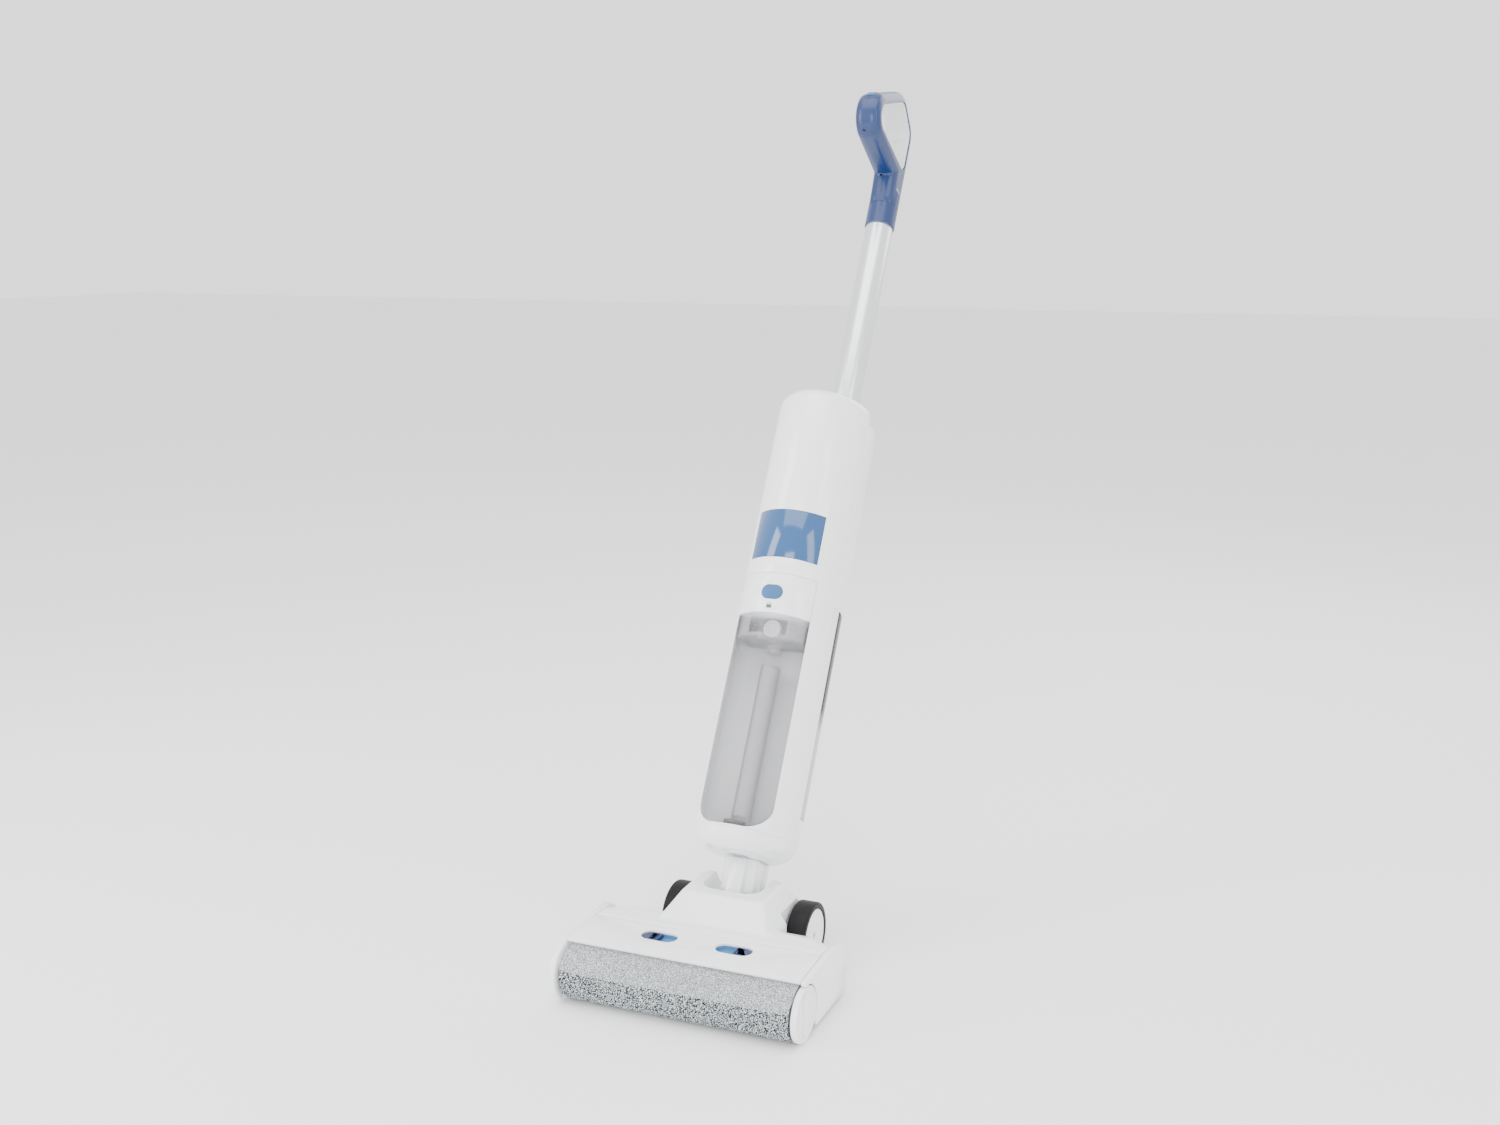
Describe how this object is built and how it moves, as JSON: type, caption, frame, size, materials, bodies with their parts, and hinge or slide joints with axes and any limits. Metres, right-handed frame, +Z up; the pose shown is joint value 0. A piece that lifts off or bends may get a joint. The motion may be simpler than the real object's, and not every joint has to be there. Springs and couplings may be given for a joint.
{
  "type": "floor washer",
  "caption": "Upright cordless roller floor washer with a low wide head, removable dirty and clean water tanks, a reclining neck and a loop handle on a metal tube.",
  "frame": {"origin": "on the floor under the middle of the whole part's box, with the body leaning back 30 degrees", "axes": "+X to the right as one looks at the front, on the side where the roller's end cap is, +Y towards the back, +Z up; the roller is at the front, at -Y"},
  "size_m": [0.272, 0.7102, 0.951],
  "materials": {
    "white_shell": "glossy",
    "white_inner": "satin",
    "handle_blue": "satin",
    "display_blue": "glossy",
    "button_blue": "satin",
    "latch_blue": "satin",
    "recess_blue": "satin",
    "tube_metal": "satin",
    "lining_grey": "satin",
    "tyre_rubber": "matte",
    "black_rubber": "matte",
    "hose_black": "satin",
    "clear_tank": "clear",
    "smoked_tank": "smoked",
    "guard_clear": "clear",
    "microfibre": "pile",
    "dark_plastic": "matte",
    "grey_plastic": "matte",
    "steel": "satin",
    "circuit_green": "satin",
    "cell_blue": "satin",
    "pulley_grey": "satin",
    "filter_white": "pleated",
    "frosted": "frosted"
  },
  "bodies": {
    "head": {"head_base": "white_inner", "head_top": "white_shell", "side_panel_left": "white_shell", "side_panel_right": "white_shell", "brush_motor": "steel", "drive_belt": "black_rubber", "scraper_strip": "black_rubber", "wheel_axles": "steel", "suction_duct": "grey_plastic", "head_screws": "steel"},
    "left_wheel": {"left_tyre": "tyre_rubber", "left_hub": "white_shell"},
    "right_wheel": {"right_tyre": "tyre_rubber", "right_hub": "white_shell"},
    "cover": {"roller_cover": "white_shell", "splash_guard": "guard_clear", "latch_plates": "recess_blue", "latch_springs": "steel"},
    "latch_left": {"latch_slider_left": "latch_blue"},
    "latch_right": {"latch_slider_right": "latch_blue"},
    "roller_carrier": {"roller_cap": "white_shell", "cap_seal": "black_rubber"},
    "roller": {"roller_core": "grey_plastic", "roller_sleeve": "microfibre"},
    "roller_drive": {"drive_pulley": "pulley_grey"},
    "motor_drive": {"motor_pulley": "pulley_grey"},
    "neck": {"neck_yoke": "dark_plastic", "hinge_pins": "steel", "water_hose": "hose_black"},
    "upper": {"neck_socket": "white_shell", "roll_pin": "steel", "main_housing": "white_shell", "rear_shell": "white_shell", "display_lens": "display_blue", "display_board": "circuit_green", "battery_case": "dark_plastic", "battery_cells": "cell_blue", "motor_housing": "grey_plastic", "suction_motor": "steel", "water_pump": "dark_plastic", "exhaust_filter": "filter_white", "tube": "tube_metal", "tube_collar": "handle_blue", "handle_left": "handle_blue", "handle_right": "handle_blue", "handle_cover": "handle_blue", "grip_lining": "lining_grey"},
    "fan": {"fan_impeller": "white_inner"},
    "dirty_tank_unit": {"dirty_tank": "clear_tank", "tank_panel": "white_shell", "tank_lid": "frosted", "filter_knob": "frosted", "inlet_pipe": "frosted", "inlet_seal": "black_rubber"},
    "tank_release": {"release_button": "button_blue"},
    "float": {"float_ball": "frosted"},
    "clean_tank_unit": {"clean_tank": "smoked_tank"},
    "clean_cap": {"clean_tank_cap": "dark_plastic"},
    "power_key": {"power_button": "button_blue"},
    "mode_key": {"mode_button": "button_blue"}
  },
  "joints": [
    {"name": "left_wheel_spin", "type": "hinge", "parent": "head", "child": "left_wheel", "pos_m": [0, -0.1625, 0.036], "axis": [1, 0, 0], "continuous": true},
    {"name": "right_wheel_spin", "type": "hinge", "parent": "head", "child": "right_wheel", "pos_m": [0, -0.1625, 0.036], "axis": [1, 0, 0], "continuous": true},
    {"name": "cover_lift", "type": "slide", "parent": "head", "child": "cover", "axis": [0, 0, 1], "range_m": [0, 0.06]},
    {"name": "latch_left_slide", "type": "slide", "parent": "cover", "child": "latch_left", "axis": [1, 0, 0], "range_m": [0, 0.008], "stiffness_N_per_m": 600},
    {"name": "latch_right_slide", "type": "slide", "parent": "cover", "child": "latch_right", "axis": [-1, 0, 0], "range_m": [0, 0.008], "stiffness_N_per_m": 600},
    {"name": "roller_withdraw", "type": "slide", "parent": "head", "child": "roller_carrier", "axis": [1, 0, 0], "range_m": [0, 0.27]},
    {"name": "roller_spin", "type": "hinge", "parent": "roller_carrier", "child": "roller", "pos_m": [0, -0.3225, 0.029], "axis": [1, 0, 0], "continuous": true},
    {"name": "drive_spin", "type": "hinge", "parent": "head", "child": "roller_drive", "pos_m": [0, -0.3225, 0.029], "axis": [1, 0, 0], "continuous": true},
    {"name": "motor_spin", "type": "hinge", "parent": "head", "child": "motor_drive", "pos_m": [0, -0.2445, 0.04], "axis": [1, 0, 0], "continuous": true},
    {"name": "body_recline", "type": "hinge", "parent": "head", "child": "neck", "pos_m": [0, -0.1925, 0.064], "axis": [-1, 0, 0], "range_deg": [-30, 25]},
    {"name": "body_roll", "type": "hinge", "parent": "neck", "child": "upper", "pos_m": [0, -0.1925, 0.064], "axis": [0, 0.866, -0.5], "range_deg": [-12, 12]},
    {"name": "fan_spin", "type": "hinge", "parent": "upper", "child": "fan", "pos_m": [0, 0.03364, 0.48769], "axis": [0, 0.5, 0.866], "continuous": true},
    {"name": "dirty_tank_pull", "type": "slide", "parent": "upper", "child": "dirty_tank_unit", "axis": [0, -0.866, 0.5], "range_m": [0, 0.12]},
    {"name": "release_press", "type": "slide", "parent": "dirty_tank_unit", "child": "tank_release", "axis": [0, 0.866, -0.5], "range_m": [0, 0.0025], "stiffness_N_per_m": 600},
    {"name": "float_rise", "type": "slide", "parent": "dirty_tank_unit", "child": "float", "axis": [0, 0.5, 0.866], "range_m": [0, 0.005]},
    {"name": "clean_tank_pull", "type": "slide", "parent": "upper", "child": "clean_tank_unit", "axis": [0, 0.866, -0.5], "range_m": [0, 0.1]},
    {"name": "clean_cap_pull", "type": "slide", "parent": "clean_tank_unit", "child": "clean_cap", "axis": [0, 0.866, -0.5], "range_m": [0, 0.03]},
    {"name": "power_press", "type": "slide", "parent": "upper", "child": "power_key", "axis": [0, 0.342, -0.9397], "range_m": [0, 0.0012], "stiffness_N_per_m": 600},
    {"name": "mode_press", "type": "slide", "parent": "upper", "child": "mode_key", "axis": [0, 0, -1], "range_m": [0, 0.0012], "stiffness_N_per_m": 600}
  ],
  "couplings": [
    {"joint": "drive_spin", "follows": "roller_spin", "ratio": 1},
    {"joint": "motor_spin", "follows": "roller_spin", "ratio": 1.125}
  ]
}
